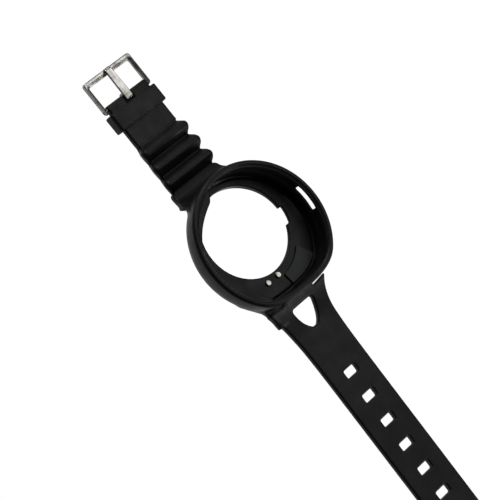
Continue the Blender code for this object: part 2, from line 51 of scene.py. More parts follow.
# Lattice of the rubber and steel surfaces
RUBBER_STEP = 0.4
FINE_STEP = 0.2
TABLE_CELL = 0.1
TABLE_MARGIN = 3.0
GRADIENT_STEP = 0.02
SETTLE_PASSES = 3  # of moving the vertices onto the surface
LEAST_STEEPNESS = 0.05

# Room for the rubber's surface: half widths, heights and the lower end
BOOT_ROOM = 35.0
STRAP_ROOM = 15.0
BOOT_HEIGHT = 24.0
FOLD_HEIGHT = 10.0
STRAP_HEIGHT = 8.0
UNDER_PART = -1.0

# Strap
STRAP_WIDTH = 24.0
BUCKLE_STRAP_THICK = 3.2
BUCKLE_STRAP_MID_Z = 3.9
BUCKLE_STRAP_TOP_Z = BUCKLE_STRAP_MID_Z + BUCKLE_STRAP_THICK / 2
BUCKLE_STRAP_UNDERSIDE_Z = BUCKLE_STRAP_MID_Z - BUCKLE_STRAP_THICK / 2
TAIL_THICK = 3.0
EDGE_ROUND = 1.0

# Ring
SADDLE_R = 145.0
SADDLE_TOP_Z = 8.4
SADDLE_X = 3.0
OPENING_R = 20.9
OPENING_X = -5.2
OPENING_TOP_Z = 13.4
NOTCH_HALF_WIDTH = 3.8
NOTCH_R = 22.7
NOTCH_FROM_Y = 10.0  # the notch and the slot cut the +Y side only
SLOT_LENGTH = 11.9
SLOT_Z = (14.2, 18.2)
SLOT_FALL = 0.15  # of the sill, for each millimetre outwards
SLOT_FROM_Y = 28.0
WALL_INNER_R = 31.0
WALL_FOOT_R = 30.0
WALL_TAPER_Z = (11.0, 15.0)
FLOOR_Z = 10.4
FLOOR_SKIN = 0.2  # left over the floor where the cavity is cleared
CAVITY_TOP_Z = 19.0
FLATTENED = 2.9  # how much of the ring's radius is missing on the tail side
FLAT_BLEND = 6.5

# Lip, which reaches further in over one stretch, towards -X and -Y
LIP_OUTER_R = 31.7
LIP_MID_Z = 20.0
LIP_HALF_HEIGHT = 1.15
LIP_LEAST = 1.3
LIP_REACH = 3.9
LIP_MIDDLE_DEG = -155.0
LIP_RISE_DEG = 16.0
LIP_FALL_DEG = 64.0

# Bellows
RIB_PITCH = 8.15
FIRST_VALLEY_X = -37.1
RIB_COUNT = 3
RIB_TOP_Z = 8.4
VALLEY_Z = 5.0
RIB_LEAN = (1.0, 0.8, 0.9)  # extra half width at the top: everywhere, towards the ring, at a crest
RIB_LEAN_LEAST = 0.25  # the share of it that the underside has
RIB_LEAN_HEIGHT = 4.0
RIB_POWER = 1.3  # 1 makes the crests round, more makes them sharper
RIB_STEEPNESS = 1.3
RIB_ROUND = 2.2
RIB_FADE = 0.35  # the last share of a pitch, where the extra width ends
STRAP_ROUND = 0.9
BELLOWS_OVERLAP = 0.6  # of the bellows and the root

# Root on the buckle side. A flare is its width at the ring, and the length it fades over.
ROOT_FLARE_LEAST = 1.0
ROOT_FLARE_PLUS_Y = (4.6, 3.4)
ROOT_FLARE_MINUS_Y = (5.5, 4.2)
ROOT_FLARE_X = -29.6
ROOT_CURVE = 0.14
ROOT_RIDGE_HEIGHT = 0.3
ROOT_RIDGE_X = FIRST_VALLEY_X + 1.7
ROOT_RIDGE_WIDTH = 0.8
ROOT_END_X = -28.6
ROOT_REACH = 4.0  # further into the ring on the -Y side
ROOT_TOP_Z = 17.0  # the root ends against the wall, below the rim
ROOT_BLEND_TOP_Z = 15.0  # the root runs smoothly into the ring only below it
ROOT_BLEND_FADE = 5.0
ROOT_BLEND = 1.7
ROOT_BLEND_WEB = 4.0  # more on the -Y side

# On the -Y side both roots fill the corner with the ring
WEB_START = 8.0
WEB_LENGTH = 6.0

# Buckle end
BAR_X = -82.1
KNUCKLE_R = 1.8
KNUCKLE_HALF_WIDTH = 11.8
BORE_R = 1.2
PRONG_SLOT = 5.0
PRONG_SLOT_BACK_X = BAR_X + 2.9
FRAME_END_X = -97.2
FRAME_HALF_WIDTH = 14.05
FRAME_LEG = 1.75
FRAME_BAR = 2.8
FRAME_THICK = 2.4
FRAME_PAST_BAR = 1.5
FRAME_PIN_R = 0.6
FRAME_BEVEL = 0.75  # height lost at the inner edge
FRAME_BEVEL_SLOPE = 0.5
PRONG_HALF_WIDTH = 2.0
PRONG_THICK = 1.2
PRONG_UNDERSIDE_Z = BUCKLE_STRAP_MID_Z + FRAME_THICK / 2 + 0.15
PRONG_TIP_X = -97.6
PRONG_NOSE = 1.2  # the length of its slanted end
PRONG_TAPER = 0.02
PRONG_TAPER_X = BAR_X - 2.0
EYE_BORE_R = 1.25

# Spring, in the bar's tube
SPRING_R = 0.46
SPRING_WIRE_R = 0.11
SPRING_HALF_LENGTH = 8.19
SPRING_HALF_TURNS = 5.5
SPRING_POINTS = 16  # in each turn
SPRING_WIRE_SIDES = 8

# Keeper
KEEPER_X = -75.4
KEEPER_LENGTH = 8.7
KEEPER_HALF_WIDTH = 13.9
KEEPER_HEIGHT = 7.2
KEEPER_WALL = 1.3
KEEPER_CROWN = 0.25  # how much lower its top is at the sides
KEEPER_ROUND = 1.8
KEEPER_INNER_ROUND = 0.8

# Tail
TAIL_START_X = 50.2
TAIL_START_MID_Z = 6.7
FIRST_HOLE_X = 70.0
HOLE_PITCH = 13.2
HOLE_COUNT = 9
HOLE_HALF = (1.95, 3.5)
HOLE_ROUND = 0.7
TAIL_COUNT = 5  # straight lengths, each on its own joint
JOINT_STEP = 2 * HOLE_PITCH
TAIL_LEVEL_X = TAIL_START_X + (TAIL_COUNT - 1) * JOINT_STEP
TAIL_SLOPE = (TAIL_START_MID_Z - TAIL_THICK / 2) / (TAIL_LEVEL_X - TAIL_START_X)
TAIL_TIP_X = 192.0
TIP_ROUND = 10.0
TAIL_FLARE = (5.3, 7.5)
TAIL_FLARE_X = 30.6
TAIL_FLARE_PAST = -1.5  # it grows this much further towards the ring

# Root of the tail: places as (x, distance from the middle line) along its end at the ring
ROOT_SUNK = (28.0, 8.4)
HORN_INNER = (29.7, 9.6)
HORN_TIP = (29.3, 17.8)
HORN_CLEAR = 1.2  # further from the ring on the +Y side
WINDOW_ROUND = 1.2
ROOT_LEVEL_X = 47.0
ROOT_RISE = 0.0131
GUSSET_BLEND = 2.2
GUSSET_LEVEL_X = 30.0  # it stays level from there to the ring

# Cuts between the pieces
BOOT_CUTS = (-34.0, 47.5)

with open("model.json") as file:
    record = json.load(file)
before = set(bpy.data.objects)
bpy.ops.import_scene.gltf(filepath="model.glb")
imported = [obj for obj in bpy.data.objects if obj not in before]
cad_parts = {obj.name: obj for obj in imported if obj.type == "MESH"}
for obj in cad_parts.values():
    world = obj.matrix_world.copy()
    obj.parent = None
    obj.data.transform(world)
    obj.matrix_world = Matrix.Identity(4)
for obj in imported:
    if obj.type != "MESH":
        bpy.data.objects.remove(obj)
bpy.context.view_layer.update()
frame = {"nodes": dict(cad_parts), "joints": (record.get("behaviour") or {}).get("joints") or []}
JOINTS = {joint["name"]: joint for joint in frame["joints"]}
RING_X = JOINTS["bellows_bend_1"]["pos_m"][0] / MM - FIRST_VALLEY_X


# ---------------------------------------------------------------- distance fields


def union(a, b, blend):
    share = np.clip(0.5 + 0.5 * (b - a) / blend, 0.0, 1.0)
    return b + (a - b) * share - blend * share * (1.0 - share)


def common(a, b, blend):
    return -union(-a, -b, blend)


def cut(a, b, blend):
    return common(a, -b, blend)


def rounded_box(u, v, half_u, half_v, radius):
    over_u = np.abs(u) - half_u + radius
    over_v = np.abs(v) - half_v + radius
    outside = np.hypot(np.maximum(over_u, 0.0), np.maximum(over_v, 0.0))
    return outside + np.minimum(np.maximum(over_u, over_v), 0.0) - radius


def bump(x, middle, width):
    return np.exp(-(((x - middle) / width) ** 2))


def flare(size, distance):
    """Extra half width near the ring. Its size is a width and the length that it fades over."""
    width, length = size
    return width * np.exp(-distance / length)


class Outline:
    """Signed distance to a closed outline, held as a table and read between its cells."""

    def __init__(self, points, soften=1):
        points = np.array(points)
        self.low = points.min(axis=0) - TABLE_MARGIN
        counts = ((points.max(axis=0) + TABLE_MARGIN - self.low) / TABLE_CELL).astype(int) + 2
        u = self.low[0] + TABLE_CELL * np.arange(counts[0])[:, None]
        v = self.low[1] + TABLE_CELL * np.arange(counts[1])[None, :]
        nearest = np.full(counts, np.inf)
        inside = np.zeros(counts, bool)
        for (u0, v0), (u1, v1) in zip(points, np.roll(points, -1, axis=0)):
            along_u, along_v = u1 - u0, v1 - v0
            length = along_u**2 + along_v**2
            share = np.clip(((u - u0) * along_u + (v - v0) * along_v) / length, 0.0, 1.0)
            apart = np.hypot(u - u0 - share * along_u, v - v0 - share * along_v)
            nearest = np.minimum(nearest, apart)
            if v0 != v1:
                inside ^= ((v0 > v) != (v1 > v)) & (u < u0 + (v - v0) * along_u / along_v)
        self.table = np.where(inside, -nearest, nearest)
        for _ in range(soften):
            for axis in (0, 1):
                before = np.roll(self.table, 1, axis)
                after = np.roll(self.table, -1, axis)
                self.table = (before + 2.0 * self.table + after) / 4.0

    def __call__(self, u, v):
        last = np.array(self.table.shape) - 1.001
        a = np.clip((u - self.low[0]) / TABLE_CELL, 0.0, last[0])
        b = np.clip((v - self.low[1]) / TABLE_CELL, 0.0, last[1])
        i, j = a.astype(int), b.astype(int)
        s, t = a - i, b - j
        low = self.table[i, j] * (1.0 - t) + self.table[i, j + 1] * t
        high = self.table[i + 1, j] * (1.0 - t) + self.table[i + 1, j + 1] * t
        return low * (1.0 - s) + high * s


def arc(centre, radius, start_deg, end_deg, steps):
    angles = np.radians(np.linspace(start_deg, end_deg, steps + 1))
    return [(centre[0] + radius * math.cos(a), centre[1] + radius * math.sin(a)) for a in angles]


# ---------------------------------------------------------------- the rubber moulding


def ring_section():
    """The ring's section as (radius, height): wall, rolled rim, undercut lip, moat and floor."""
    foot = [(27.6, 1.0), (28.0, 3.0), (28.7, 5.5), (29.5, 8.4), (30.4, 10.0), (31.2, 11.2)]
    outside = foot + [(32.0, 12.8), (32.7, 15.5), (33.0, 18.5)]
    rim = arc((31.6, 21.1), 1.4, 0.0, 150.0, 14)
    lip = [(30.35, 21.1), (30.4, 20.4), (30.9, 19.7), (WALL_INNER_R, 19.2)]
    wall = [(WALL_INNER_R, WALL_TAPER_Z[1]), (WALL_FOOT_R, WALL_TAPER_Z[0])]
    moat = [(29.7, 9.9), (28.7, 9.9), (28.3, FLOOR_Z)]
    return outside + rim + lip + wall + moat + [(-3.0, FLOOR_Z), (-3.0, 1.0)]


def window_core():
    """The triangular window in the tail's root, less the rounding of its corners."""
    half = [(34.8, 5.1), (37.6, 4.5), (40.4, 3.45), (42.4, 2.2), (43.7, 0.9)]
    return half + [(x, -y) for x, y in reversed(half)]


def gusset_outline():
    """The web in plan: its free edge from the ring to the tail, then back within both."""
    by_ring = [(12.0, -24.5), (17.7, -24.3), (22.0, -21.4)]
    by_tail = [(26.4, -18.7), (31.0, -17.2), (36.6, -16.0)]
    return by_ring + by_tail + [(36.0, -11.0), (29.0, -7.0), (20.0, -15.0)]


RING = Outline(ring_section(), soften=3)
GUSSET = Outline(gusset_outline(), soften=8)
WINDOW = Outline(window_core())


def tail_mid_z(x):
    return np.maximum(TAIL_START_MID_Z - TAIL_SLOPE * (x - TAIL_START_X), TAIL_THICK / 2)


def root_inner_x(y):
    """Where the tail's root ends: sunk in the ring's flat side, then clear of it under the horns."""
    across = np.abs(y)
    step = np.clip((across - ROOT_SUNK[1]) / (HORN_INNER[1] - ROOT_SUNK[1]), 0.0, 1.0)
    horn = np.clip((across - HORN_INNER[1]) / (HORN_TIP[1] - HORN_INNER[1]), 0.0, 1.0)
    clear = np.where(y > 0.0, HORN_CLEAR, 0.0) * step * (1.0 - 0.5 * horn)
    end = ROOT_SUNK[0] + (HORN_INNER[0] - ROOT_SUNK[0]) * step
    return end + (HORN_TIP[0] - HORN_INNER[0]) * horn + clear


def tail_height(x):
    """Height of the middle of the tail's thickness, which rises towards the ring."""
    return tail_mid_z(np.maximum(x, ROOT_LEVEL_X)) + ROOT_RISE * np.maximum(ROOT_LEVEL_X - x, 0.0) ** 2


def gusset(x, y, z):
    """The web that fills the corner between the ring and the tail's -Y horn."""
    height = tail_height(np.maximum(x, GUSSET_LEVEL_X))
    return common(GUSSET(x, y), np.abs(z - height) - TAIL_THICK / 2, EDGE_ROUND)


def tail(x, y, z):
    """The tail with its root, which flares and curves up to the ring, its window and its holes."""
    height = tail_height(x)
    from_ring = np.maximum(x - TAIL_FLARE_X, TAIL_FLARE_PAST)
    across = np.maximum(np.abs(y) - flare(TAIL_FLARE, from_ring), 0.0)
    half_length = TAIL_TIP_X / 2
    plan = rounded_box(x - half_length, across, half_length, STRAP_WIDTH / 2, TIP_ROUND)
    plan = common(plan, root_inner_x(y) - x, 0.8)
    body = common(plan, np.abs(z - height) - TAIL_THICK / 2, EDGE_ROUND)
    body = cut(body, WINDOW(x, y) - WINDOW_ROUND, 0.8)
    hole = np.clip(np.round((x - FIRST_HOLE_X) / HOLE_PITCH), 0, HOLE_COUNT - 1)
    from_hole = x - FIRST_HOLE_X - hole * HOLE_PITCH
    return cut(body, rounded_box(from_hole, y, *HOLE_HALF, HOLE_ROUND), 0.6)


def ring_radius(x, y):
    """Distance from the ring's axis, counted so that a constant one is flattened on the tail side."""
    return -union(-np.hypot(x, y), -x - FLATTENED, FLAT_BLEND)


def wide_lip(x, y, z):
    """The stretch of the lip that reaches further in than the rest, and its share of the reach."""
    middle = math.radians(LIP_MIDDLE_DEG)
    along, across = math.cos(middle), math.sin(middle)
    turned = np.degrees(np.arctan2(y * along - x * across, x * along + y * across))
    gone = np.where(turned < 0.0, -turned / LIP_RISE_DEG, turned / LIP_FALL_DEG)
    share = 1.0 - np.clip(gone, 0.0, 1.0)
    share = share * share * (3.0 - 2.0 * share)
    half = (LIP_LEAST + LIP_REACH * share) / 2
    inwards = ring_radius(x, y) - LIP_OUTER_R + half
    return rounded_box(inwards, z - LIP_MID_Z, half, LIP_HALF_HEIGHT, 0.6), share


def ring(x, y, z):
    """The ring with its saddle, its opening with a notch, and the button slot."""
    under = SADDLE_R - np.hypot(x - SADDLE_X, z - SADDLE_TOP_Z + SADDLE_R)
    body = common(RING(ring_radius(x, y), z), under, 0.8)
    lip, share = wide_lip(x, y, z)
    body = union(body, lip, 0.3 + 0.7 * share)
    from_opening = np.hypot(x - OPENING_X, y)
    notch = common(from_opening - NOTCH_R, np.abs(x) - NOTCH_HALF_WIDTH, 0.4)
    notch = common(notch, NOTCH_FROM_Y - y, 0.4)
    opening = union(from_opening - OPENING_R, notch, 0.3)
    body = cut(body, common(opening, z - OPENING_TOP_Z, 0.5), 0.7)
    sill = SLOT_Z[0] - SLOT_FALL * (y - WALL_INNER_R)
    slot = common(np.abs(x) - SLOT_LENGTH / 2, common(z - SLOT_Z[1], sill - z, 0.5), 0.8)
    slot = common(slot, SLOT_FROM_Y - y, 0.5)
    return cut(body, slot, 0.5)


def web_share(y):
    """How far a place across the strap belongs to the filled corner: 0 not at all, 1 fully."""
    return np.clip((-y - WEB_START) / WEB_LENGTH, 0.0, 1.0)


def buckle_root(x, y, z):
    """The strap's flared root on the buckle side, curving up to the ring."""
    away = np.maximum(ROOT_FLARE_X - x, 0.0)
    sides = np.where(y > 0.0, flare(ROOT_FLARE_PLUS_Y, away), flare(ROOT_FLARE_MINUS_Y, away))
    wider = ROOT_FLARE_LEAST + sides
    along = np.maximum(x - FIRST_VALLEY_X, 0.0)
    slope = 2.0 * ROOT_CURVE * along
    lift = ROOT_RIDGE_HEIGHT * bump(x, ROOT_RIDGE_X, ROOT_RIDGE_WIDTH)
    from_middle = z - BUCKLE_STRAP_MID_Z - ROOT_CURVE * along**2
    thick = np.maximum(from_middle - lift, -from_middle) - BUCKLE_STRAP_THICK / 2
    inner_end = ROOT_END_X + ROOT_REACH * web_share(y)
    plan = common(np.abs(y) - STRAP_WIDTH / 2 - wider, x - inner_end, 1.0)
    plan = common(plan, FIRST_VALLEY_X - x, 1.6)
    plan = common(plan, z - ROOT_TOP_Z, 1.0)
    return common(plan, thick / np.sqrt(1.0 + slope**2), EDGE_ROUND)


def bellows(x, y, z):
    """Three folds between the ring and the flat of the strap."""
    share = (FIRST_VALLEY_X - x) / RIB_PITCH
    wave = np.abs(np.sin(math.pi * share))
    folds = (share > 0.0) & (share < RIB_COUNT)
    top = VALLEY_Z + (RIB_TOP_Z - VALLEY_Z) * wave**RIB_POWER
    upwards = np.clip((z - BUCKLE_STRAP_UNDERSIDE_Z) / RIB_LEAN_HEIGHT, 0.0, 1.0)
    lean = RIB_LEAN_LEAST + (1.0 - RIB_LEAN_LEAST) * upwards
    near_ring = np.clip(1.0 - share / RIB_COUNT, 0.0, 1.0)
    fade = np.clip((RIB_COUNT - share) / RIB_FADE, 0.0, 1.0)
    extra = RIB_LEAN[0] + RIB_LEAN[1] * near_ring + RIB_LEAN[2] * wave
    top = np.where(folds, top, BUCKLE_STRAP_TOP_Z)
    wide = STRAP_WIDTH / 2 + np.where(folds, lean * extra * fade, 0.0)
    round_edge = np.where(folds, RIB_ROUND, STRAP_ROUND)
    body = common((z - top) / RIB_STEEPNESS, np.abs(y) - wide, round_edge)
    body = common(body, BUCKLE_STRAP_UNDERSIDE_Z - z, EDGE_ROUND)
    middle = (BAR_X + FIRST_VALLEY_X + BELLOWS_OVERLAP) / 2
    half = (FIRST_VALLEY_X + BELLOWS_OVERLAP - BAR_X) / 2
    return common(body, np.abs(x - middle) - half, 0.4)


def knuckle(x, y, z):
    """The round end that holds the spring bar."""
    from_bar = np.hypot(x - BAR_X, z - BUCKLE_STRAP_MID_Z)
    return common(from_bar - KNUCKLE_R, np.abs(y) - KNUCKLE_HALF_WIDTH, 0.6)


def cavity(x, y, z):
    """The space inside the wall, above the floor and below the lip."""
    low, high = WALL_TAPER_Z
    upwards = np.clip((z - low) / (high - low), 0.0, 1.0)
    wall = WALL_FOOT_R + (WALL_INNER_R - WALL_FOOT_R) * upwards
    inside = common(ring_radius(x, y) - wall, z - CAVITY_TOP_Z, 0.3)
    return common(inside, FLOOR_Z + FLOOR_SKIN - z, 0.3)


def rubber(x, y, z):
    """The whole moulding, with the strap's bore and the slot for the prong."""
    web = web_share(y)
    root = union(tail(x, y, z), gusset(x, y, z), 1.0)
    body = union(ring(x, y, z), root, 0.8 + GUSSET_BLEND * web)
    low = np.clip((ROOT_BLEND_TOP_Z - z) / ROOT_BLEND_FADE, 0.0, 1.0)
    blend = 0.3 + low * (ROOT_BLEND + ROOT_BLEND_WEB * web)
    body = union(body, buckle_root(x, y, z), blend)
    body = union(body, union(bellows(x, y, z), knuckle(x, y, z), 0.5), 0.3)
    body = cut(body, cavity(x, y, z), 0.4)
    bore = np.hypot(x - BAR_X, z - BUCKLE_STRAP_MID_Z) - BORE_R
    slot = common(np.abs(y) - PRONG_SLOT / 2, x - PRONG_SLOT_BACK_X, 0.5)
    return cut(cut(body, bore, 0.2), slot, 0.4)


def keeper(x, y, z):
    """The flat loop round the strap, its top slightly crowned."""
    half_height = KEEPER_HEIGHT / 2
    inner_size = (KEEPER_HALF_WIDTH - KEEPER_WALL, half_height - KEEPER_WALL)
    height = z - half_height
    crown = KEEPER_CROWN * (y / KEEPER_HALF_WIDTH) ** 2
    outer = rounded_box(y, height, KEEPER_HALF_WIDTH, half_height, KEEPER_ROUND)
    inner = rounded_box(y, height, *inner_size, KEEPER_INNER_ROUND)
    outer = np.maximum(outer, (height - half_height + crown) / 1.02)
    band = cut(outer, inner, 0.5)
    return common(band, np.abs(x - KEEPER_X) - KEEPER_LENGTH / 2, 0.9)


# ---------------------------------------------------------------- the steel


def buckle_frame(x, y, z):
    """A flat bar bent to a frame, its inner top edge bevelled along the outer bar."""
    half_length = (BAR_X + FRAME_PAST_BAR - FRAME_END_X) / 2
    u = x - FRAME_END_X - half_length
    height = z - BUCKLE_STRAP_MID_Z
    outside = rounded_box(u, y, half_length, FRAME_HALF_WIDTH, 1.5)
    inside_x = FRAME_END_X + FRAME_BAR
    reach = 15.0  # half the window's length: it runs on past the bar, where the frame is open
    inside = rounded_box(x - inside_x - reach, y, reach, FRAME_HALF_WIDTH - FRAME_LEG, 0.8)
    body = common(cut(outside, inside, 0.05), np.abs(height) - FRAME_THICK / 2, 0.5)
    bevel = height - FRAME_THICK / 2 + FRAME_BEVEL - FRAME_BEVEL_SLOPE * inside
    body = common(body, bevel / math.hypot(1.0, FRAME_BEVEL_SLOPE), 0.15)
    pin = np.hypot(x - BAR_X, height) - FRAME_PIN_R
    return cut(body, pin, 0.15)


def buckle_prong(x, y, z):
    """A flat tongue rolled into an eye round the spring bar."""
    eye_r = PRONG_UNDERSIDE_Z + PRONG_THICK - BUCKLE_STRAP_MID_Z
    from_bar = np.hypot(x - BAR_X, z - BUCKLE_STRAP_MID_Z)
    middle = PRONG_UNDERSIDE_Z + PRONG_THICK / 2
    half = (BAR_X - PRONG_TIP_X) / 2
    tongue = rounded_box(x - PRONG_TIP_X - half, z - middle, half, PRONG_THICK / 2, 0.25)
    nose = z - PRONG_UNDERSIDE_Z - PRONG_THICK - (x - PRONG_TIP_X - PRONG_NOSE)
    tongue = common(tongue, nose / math.sqrt(2.0), 0.5)
    half_width = PRONG_HALF_WIDTH - PRONG_TAPER * np.maximum(PRONG_TAPER_X - x, 0.0)
    body = common(union(from_bar - eye_r, tongue, 0.3), np.abs(y) - half_width, 0.4)
    return cut(body, from_bar - EYE_BORE_R, 0.15)


# ---------------------------------------------------------------- from field to mesh


def gradient(field, points):
    """The field's slope along each axis, one row for each point."""
    slopes = []
    for axis in range(3):
        shift = np.zeros(3)
        shift[axis] = GRADIENT_STEP
        ahead = field(*(points + shift).T)
        behind = field(*(points - shift).T)
        slopes.append((ahead - behind) / (2.0 * GRADIENT_STEP))
    return np.stack(slopes, axis=1)


def surface(field, low, high, step):
    """Vertices and quads on field = 0, on one lattice that all the pieces share."""
    ends = [(math.floor(a / step), math.ceil(b / step) + 1) for a, b in zip(low, high)]
    axes = [step * np.arange(*pair) for pair in ends]
    value = field(*np.meshgrid(*axes, indexing="ij"))
    cells = tuple(n - 1 for n in value.shape)
    total = np.zeros(cells + (3,))
    count = np.zeros(cells)
    rings = []
    for axis in range(3):
        lower = value.take(range(cells[axis]), axis)
        upper = value.take(range(1, cells[axis] + 1), axis)
        index = np.argwhere((lower < 0.0) != (upper < 0.0))
        at = tuple(index.T)
        places = np.stack([axes[k][index[:, k]] for k in range(3)], axis=1)
        places[:, axis] += step * lower[at] / (lower[at] - upper[at])
        round_edge = []
        for shift_b, shift_c in ((0, 0), (1, 0), (1, 1), (0, 1)):
            cell = index.copy()
            cell[:, (axis + 1) % 3] -= shift_b
            cell[:, (axis + 2) % 3] -= shift_c
            round_edge.append(cell)
        corners = np.stack(round_edge, axis=1)
        within = ((corners >= 0) & (corners < np.array(cells))).all(axis=(1, 2))
        corners, places = corners[within], places[within]
        for k in range(4):
            cell = tuple(corners[:, k].T)
            np.add.at(total, cell, places)
            np.add.at(count, cell, 1.0)
        outward = lower[at][within] < 0.0
        corners[~outward] = corners[~outward][:, ::-1]
        rings.append(corners)
    used = count > 0
    number = np.full(cells, -1)
    number[used] = np.arange(used.sum())
    vertices = total[used] / count[used][:, None]
    faces = number[tuple(np.concatenate(rings).transpose(2, 0, 1))]
    for _ in range(SETTLE_PASSES):
        slope = gradient(field, vertices)
        steep = np.maximum((slope**2).sum(axis=1), LEAST_STEEPNESS)
        move = -(field(*vertices.T) / steep)[:, None] * slope
        vertices += np.clip(move, -step / 2, step / 2)
    return vertices, faces


def close_cut(bm, x, side):
    """Trims the mesh at a plane across X and closes it with a flat, sharp-edged cap."""
    found = bmesh.ops.bisect_plane(
        bm, geom=bm.verts[:] + bm.edges[:] + bm.faces[:], dist=1e-9,
        plane_co=(x, 0.0, 0.0), plane_no=(side, 0.0, 0.0), clear_outer=True,
    )
    border = [item for item in found["geom_cut"] if isinstance(item, bmesh.types.BMEdge)]
    filled = bmesh.ops.triangle_fill(bm, edges=border, use_beauty=True)
    for edge in border:
        if edge.is_valid:
            edge.smooth = False
    for item in filled["geom"]:
        if isinstance(item, bmesh.types.BMFace):
            item.smooth = False
            if item.normal.x * side < 0.0:
                item.normal_flip()


def object_from(bm, mesh):
    """Puts what bm holds into the mesh, and an object of the mesh's name into the scene."""
    bm.to_mesh(mesh)
    bm.free()
    obj = bpy.data.objects.new(mesh.name, mesh)
    bpy.context.scene.collection.objects.link(obj)
    return obj


def mesh_piece(name, field, low, high, step, cuts=(None, None)):
    """A piece of the field's surface in the box, trimmed and capped where a cut is given."""
    vertices, faces = surface(field, low, high, step)
    vertices[:, 0] += RING_X
    mesh = bpy.data.meshes.new(name)
    mesh.from_pydata((vertices * MM).tolist(), [], faces.tolist())
    bm = bmesh.new()
    bm.from_mesh(mesh)
    for face in bm.faces:
        face.smooth = True
    for x, side in zip(cuts, (-1.0, 1.0)):
        if x is not None:
            close_cut(bm, (x + RING_X) * MM, side)
    bmesh.ops.delete(bm, geom=[v for v in bm.verts if not v.link_faces], context="VERTS")
    return object_from(bm, mesh)


def strap_piece(name, start, end, height, half_width=STRAP_ROOM):
    """The rubber between two cuts across the strap. An end of None is a free end."""
    low_x = start - RUBBER_STEP if start is not None else BAR_X - 4.0
    high_x = end + RUBBER_STEP if end is not None else TAIL_TIP_X + 2.0
    low = (low_x, -half_width, UNDER_PART)
    high = (high_x, half_width, height)
    return mesh_piece(name, rubber, low, high, RUBBER_STEP, (start, end))


# ---------------------------------------------------------------- materials


def new_material(name, colour, roughness, metallic=0.0, specular=0.5):
    """A material, its node tree and its shader, which has the plain values given here."""
    made = bpy.data.materials.new(name)
    made.use_nodes = True
    shader = made.node_tree.nodes["Principled BSDF"]
    shader.inputs["Base Color"].default_value = (*colour, 1.0)
    shader.inputs["Roughness"].default_value = roughness
    shader.inputs["Metallic"].default_value = metallic
    shader.inputs["Specular IOR Level"].default_value = specular
    return made, made.node_tree, shader


def object_noise(tree, scale, detail, stretch=(1.0, 1.0, 1.0)):
    """Noise in the piece's own space, in waves of about 1 / scale metres."""
    place = tree.nodes.new("ShaderNodeTexCoord")
    mapping = tree.nodes.new("ShaderNodeMapping")
    mapping.inputs["Scale"].default_value = stretch
    noise = tree.nodes.new("ShaderNodeTexNoise")
    noise.inputs["Scale"].default_value = scale
    noise.inputs["Detail"].default_value = detail
    tree.links.new(place.outputs["Object"], mapping.inputs["Vector"])
    tree.links.new(mapping.outputs["Vector"], noise.inputs["Vector"])
    return noise


def ramp_colour(tree, source, socket, stops):
    """Turns source, from 0 to 1, into a colour between the two stops."""
    ramp = tree.nodes.new("ShaderNodeValToRGB")
    points = ramp.color_ramp.elements
    for point, (place, colour) in zip(points, stops):
        point.position = place
        point.color = (*colour, 1.0)
    tree.links.new(source, ramp.inputs["Fac"])
    tree.links.new(ramp.outputs["Color"], socket)


def ramp_value(tree, source, socket, low, high):
    """Spreads the middle of a noise, where most of it lies, over low to high."""
    spread = tree.nodes.new("ShaderNodeMapRange")
    spread.inputs["From Min"].default_value = 0.3
    spread.inputs["From Max"].default_value = 0.7
    spread.inputs["To Min"].default_value = low
    spread.inputs["To Max"].default_value = high
    tree.links.new(source, spread.inputs["Value"])
    tree.links.new(spread.outputs["Result"], socket)


def add_bump(tree, shader, source, strength, depth_mm, below=None):
    """Fine relief from source, on top of the bump node below it."""
    bump_node = tree.nodes.new("ShaderNodeBump")
    bump_node.inputs["Strength"].default_value = strength
    bump_node.inputs["Distance"].default_value = depth_mm * MM
    tree.links.new(source, bump_node.inputs["Height"])
    if below:
        tree.links.new(below.outputs["Normal"], bump_node.inputs["Normal"])
    tree.links.new(bump_node.outputs["Normal"], shader.inputs["Normal"])
    return bump_node


def rubber_material():
    """Black moulded rubber: dusty patches, a satin sheen that varies, and a fine grain."""
    plain = (0.004, 0.004, 0.004)
    made, tree, shader = new_material("black_rubber", plain, roughness=0.45, specular=0.08)
    patches = object_noise(tree, 90.0, 5.0)
    stops = [(0.35, (0.0022, 0.0022, 0.0024)), (0.72, (0.0055, 0.0057, 0.0052))]
    ramp_colour(tree, patches.outputs["Fac"], shader.inputs["Base Color"], stops)
    sheen = object_noise(tree, 160.0, 3.0)
    ramp_value(tree, sheen.outputs["Fac"], shader.inputs["Roughness"], 0.36, 0.5)
    grain = object_noise(tree, 2600.0, 2.0)
    ripple = add_bump(tree, shader, sheen.outputs["Fac"], 0.25, 0.25)
    add_bump(tree, shader, grain.outputs["Fac"], 0.22, 0.04, ripple)
    return made


def steel_material():
    """Brushed steel, its scratches running along X."""
    plain = (0.2, 0.195, 0.18)
    made, tree, shader = new_material("brushed_steel", plain, roughness=0.3, metallic=1.0)
    stain = object_noise(tree, 220.0, 4.0)
    stops = [(0.3, (0.11, 0.107, 0.095)), (0.7, (0.27, 0.265, 0.25))]
    ramp_colour(tree, stain.outputs["Fac"], shader.inputs["Base Color"], stops)
    brushed = object_noise(tree, 900.0, 3.0, (0.06, 1.0, 1.0))
    ramp_value(tree, brushed.outputs["Fac"], shader.inputs["Roughness"], 0.22, 0.42)
    add_bump(tree, shader, brushed.outputs["Fac"], 0.35, 0.05)
    return made


